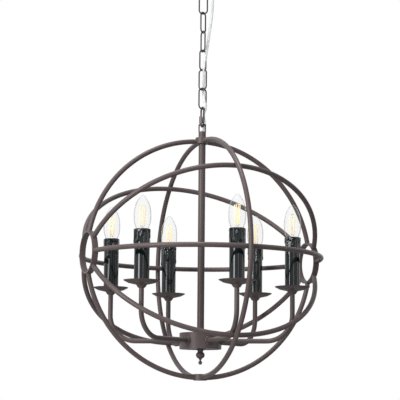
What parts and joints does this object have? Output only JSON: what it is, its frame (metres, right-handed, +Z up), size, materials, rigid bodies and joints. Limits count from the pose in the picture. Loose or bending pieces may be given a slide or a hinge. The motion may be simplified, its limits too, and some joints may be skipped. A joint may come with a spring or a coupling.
{
  "type": "orb chandelier",
  "caption": "Open orb of round rods around upright candle lights on bent arms, hung by a loop, quick link and chain from a domed ceiling canopy.",
  "frame": {"origin": "on the ceiling, at the canopy's centre, on the hanging axis", "axes": "+Z up into the ceiling; the chandelier hangs towards -Z; +X through the orb's right-hand side band; -Y towards the orb's front"},
  "size_m": [0.4964, 0.5222, 0.8705],
  "materials": {
    "frame_metal": "satin dark brown-grey powder coat",
    "chain_steel": "dark gunmetal lacquer",
    "candle_black": "gloss black with wax runs",
    "clear_glass": "clear",
    "bulb_metal": "bright screw cap, with a glass stem and warm filaments",
    "plated_steel": "zinc plated",
    "moulded_plastic": "moulded, off-white",
    "clear_flex": "clear sheath over fine cores"
  },
  "bodies": {
    "ceiling_fitting": {"ceiling_bracket": "plated_steel", "canopy": "frame_metal", "canopy_screws": "frame_metal", "canopy_hook": "frame_metal", "canopy_hook_nut": "plated_steel", "cord_grip": "frame_metal", "terminal_block": "moulded_plastic", "flex": "clear_flex"},
    "link_1": {"chain_link_1": "chain_steel"},
    "link_2": {"chain_link_2": "chain_steel"},
    "link_3": {"chain_link_3": "chain_steel"},
    "link_4": {"chain_link_4": "chain_steel"},
    "link_5": {"chain_link_5": "chain_steel"},
    "link_6": {"chain_link_6": "chain_steel"},
    "quick_link": {"quick_link": "chain_steel"},
    "quick_link_nut": {"quick_link_nut": "chain_steel"},
    "orb": {"equator_front": "frame_metal", "equator_rear": "frame_metal", "slant_upper_front": "frame_metal", "slant_lower_rear": "frame_metal", "slant_lower_front": "frame_metal", "slant_upper_rear": "frame_metal", "meridian_upper_right": "frame_metal", "meridian_upper_left": "frame_metal", "meridian_lower_right": "frame_metal", "meridian_lower_left": "frame_metal", "meridian_front": "frame_metal", "meridian_rear": "frame_metal", "side_band_right": "frame_metal", "side_band_left": "frame_metal", "top_collar": "frame_metal", "bottom_collar": "frame_metal", "stem": "frame_metal", "lamp_pipe": "plated_steel", "hub_shell": "frame_metal", "hub_plate": "frame_metal", "finial": "frame_metal", "hub_nuts": "plated_steel", "arms": "frame_metal", "arm_flanges": "frame_metal", "arm_nuts": "plated_steel", "drip_pans": "frame_metal", "pan_nuts": "plated_steel", "lamp_posts": "plated_steel", "lampholders": "moulded_plastic", "candle_sleeves": "candle_black", "hanging_loop": "frame_metal"},
    "bulb_1": {"bulb_glass_1": "clear_glass", "bulb_works_1": "bulb_metal"},
    "bulb_2": {"bulb_glass_2": "clear_glass", "bulb_works_2": "bulb_metal"},
    "bulb_3": {"bulb_glass_3": "clear_glass", "bulb_works_3": "bulb_metal"},
    "bulb_4": {"bulb_glass_4": "clear_glass", "bulb_works_4": "bulb_metal"},
    "bulb_5": {"bulb_glass_5": "clear_glass", "bulb_works_5": "bulb_metal"},
    "bulb_6": {"bulb_glass_6": "clear_glass", "bulb_works_6": "bulb_metal"}
  },
  "joints": [
    {"name": "link_1_swing", "type": "hinge", "parent": "ceiling_fitting", "child": "link_1", "pos_m": [0, 0, -0.06465], "axis": [0.3746, 0.9272, 0], "range_deg": [-15, 15], "deforming": ["flex"]},
    {"name": "link_2_swing", "type": "hinge", "parent": "link_1", "child": "link_2", "pos_m": [0, 0, -0.10485], "axis": [0.9272, -0.3746, 0], "range_deg": [-15, 15], "deforming": ["flex"]},
    {"name": "link_3_swing", "type": "hinge", "parent": "link_2", "child": "link_3", "pos_m": [0, 0, -0.14555], "axis": [0.829, 0.5592, 0], "range_deg": [-15, 15], "deforming": ["flex"]},
    {"name": "link_4_swing", "type": "hinge", "parent": "link_3", "child": "link_4", "pos_m": [0, 0, -0.18625], "axis": [0.1219, -0.9925, 0], "range_deg": [-15, 15], "deforming": ["flex"]},
    {"name": "link_5_swing", "type": "hinge", "parent": "link_4", "child": "link_5", "pos_m": [0, 0, -0.22695], "axis": [0.9397, 0.342, 0], "range_deg": [-15, 15], "deforming": ["flex"]},
    {"name": "link_6_swing", "type": "hinge", "parent": "link_5", "child": "link_6", "pos_m": [0, 0, -0.26765], "axis": [0.6428, -0.766, 0], "range_deg": [-15, 15], "deforming": ["flex"]},
    {"name": "quick_link_swing", "type": "hinge", "parent": "link_6", "child": "quick_link", "pos_m": [0, 0, -0.30835], "axis": [0.9903, 0.1392, 0], "range_deg": [-15, 15], "deforming": ["flex"]},
    {"name": "orb_swing", "type": "hinge", "parent": "quick_link", "child": "orb", "pos_m": [0, 0, -0.3458], "axis": [-0.0349, -0.9994, 0], "range_deg": [-15, 15], "deforming": ["flex"]},
    {"name": "quick_link_nut_slide", "type": "slide", "parent": "quick_link", "child": "quick_link_nut", "axis": [0, 0, 1], "range_m": [0, 0.0095]},
    {"name": "bulb_1_turn", "type": "hinge", "parent": "orb", "child": "bulb_1", "pos_m": [0, -0.188, -0.681], "axis": [0, 0, 1], "range_deg": [0, 1080]},
    {"name": "bulb_2_turn", "type": "hinge", "parent": "orb", "child": "bulb_2", "pos_m": [0.16281, -0.094, -0.681], "axis": [0, 0, 1], "range_deg": [0, 1080]},
    {"name": "bulb_3_turn", "type": "hinge", "parent": "orb", "child": "bulb_3", "pos_m": [0.16281, 0.094, -0.681], "axis": [0, 0, 1], "range_deg": [0, 1080]},
    {"name": "bulb_4_turn", "type": "hinge", "parent": "orb", "child": "bulb_4", "pos_m": [0, 0.188, -0.681], "axis": [0, 0, 1], "range_deg": [0, 1080]},
    {"name": "bulb_5_turn", "type": "hinge", "parent": "orb", "child": "bulb_5", "pos_m": [-0.16281, 0.094, -0.681], "axis": [0, 0, 1], "range_deg": [0, 1080]},
    {"name": "bulb_6_turn", "type": "hinge", "parent": "orb", "child": "bulb_6", "pos_m": [-0.16281, -0.094, -0.681], "axis": [0, 0, 1], "range_deg": [0, 1080]}
  ]
}
